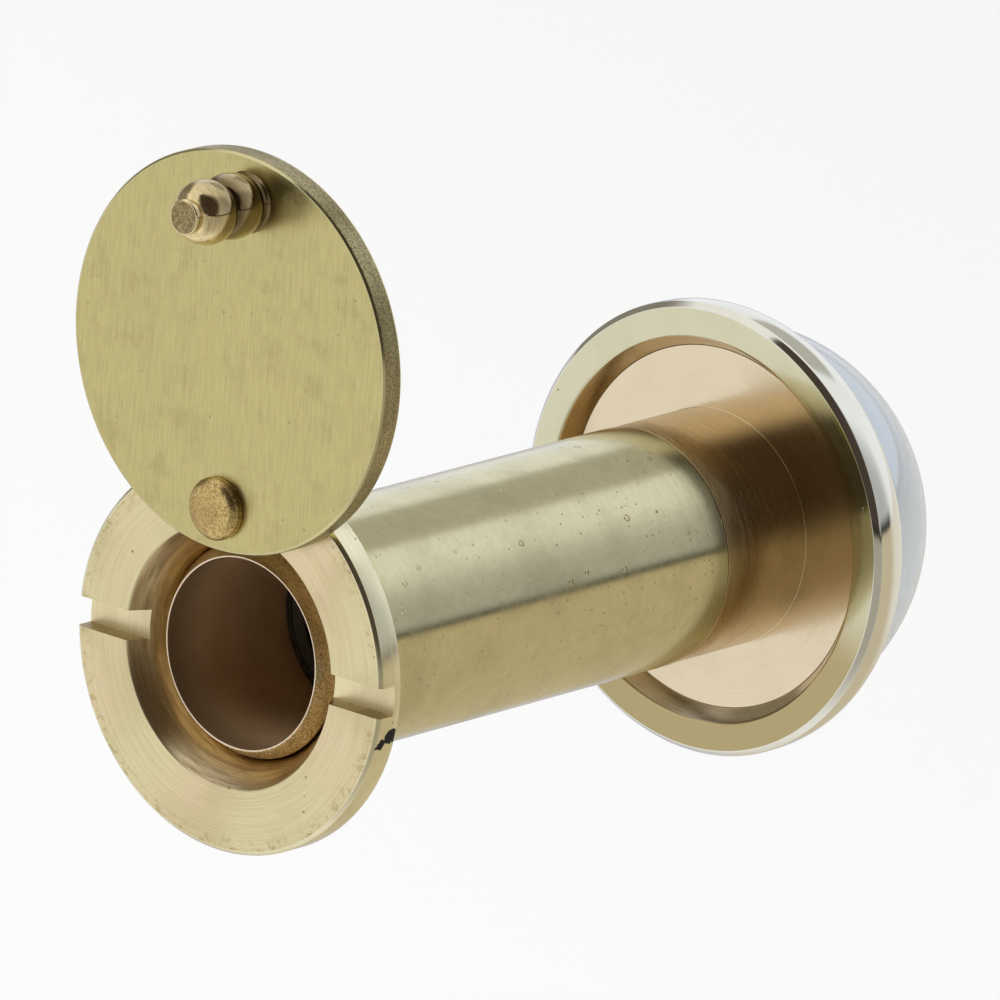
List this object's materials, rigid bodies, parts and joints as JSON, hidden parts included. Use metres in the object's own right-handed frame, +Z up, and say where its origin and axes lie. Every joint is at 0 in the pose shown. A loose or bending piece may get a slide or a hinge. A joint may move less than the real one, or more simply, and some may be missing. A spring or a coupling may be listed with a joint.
{
  "type": "door viewer",
  "caption": "Door viewer with a domed lens and bezel outside, a screw-in sleeve with a flange inside, and a round swing cover with a small knob over the eyepiece.",
  "frame": {"origin": "on the barrel's axis, in the plane where the outside bezel bears on the door", "axes": "+Y along the barrel's axis, out of the door towards the dome; +Z up, towards the cover's rivet; +X to the right for a person inside, facing the door"},
  "size_m": [0.0266, 0.0614, 0.0428],
  "materials": {
    "sleeve_brass": "satin turned brass, fine lathe rings on the flange face",
    "washer_bronze": "thin spring bronze, dull",
    "rivet_brass": "worn granular brass",
    "cover_brass": "satin olive brass, fine vertical brushing, light stains",
    "knob_brass": "polished turned brass",
    "barrel_brass": "copper-toned turned brass, polished shoulder",
    "bezel_brass": "polished pale brass",
    "dome_glass": "clear polished glass",
    "lens_glass": "clear coated glass",
    "seal_rubber": "matt black rubber",
    "black_metal": "matt black lacquer on metal"
  },
  "bodies": {
    "exterior_unit": {"exterior_barrel": "barrel_brass", "exterior_bezel": "bezel_brass", "objective_lens": "dome_glass", "lens_seal": "seal_rubber", "second_lens": "lens_glass", "spacer_ring": "black_metal", "third_lens": "lens_glass", "spacer_tube": "black_metal", "eyepiece_lens": "lens_glass", "eyepiece_retainer": "black_metal"},
    "interior_unit": {"interior_sleeve": "sleeve_brass", "cover_washer": "washer_bronze", "cover_rivet": "rivet_brass"},
    "cover": {"cover_disc": "cover_brass", "cover_knob": "knob_brass"}
  },
  "joints": [
    {"name": "sleeve_travel", "type": "slide", "parent": "exterior_unit", "child": "interior_unit", "axis": [0, -1, 0], "range_m": [0, 0.02]},
    {"name": "cover_swing", "type": "hinge", "parent": "interior_unit", "child": "cover", "pos_m": [0, -0.0418, 0.009], "axis": [0, 1, 0], "continuous": true}
  ]
}
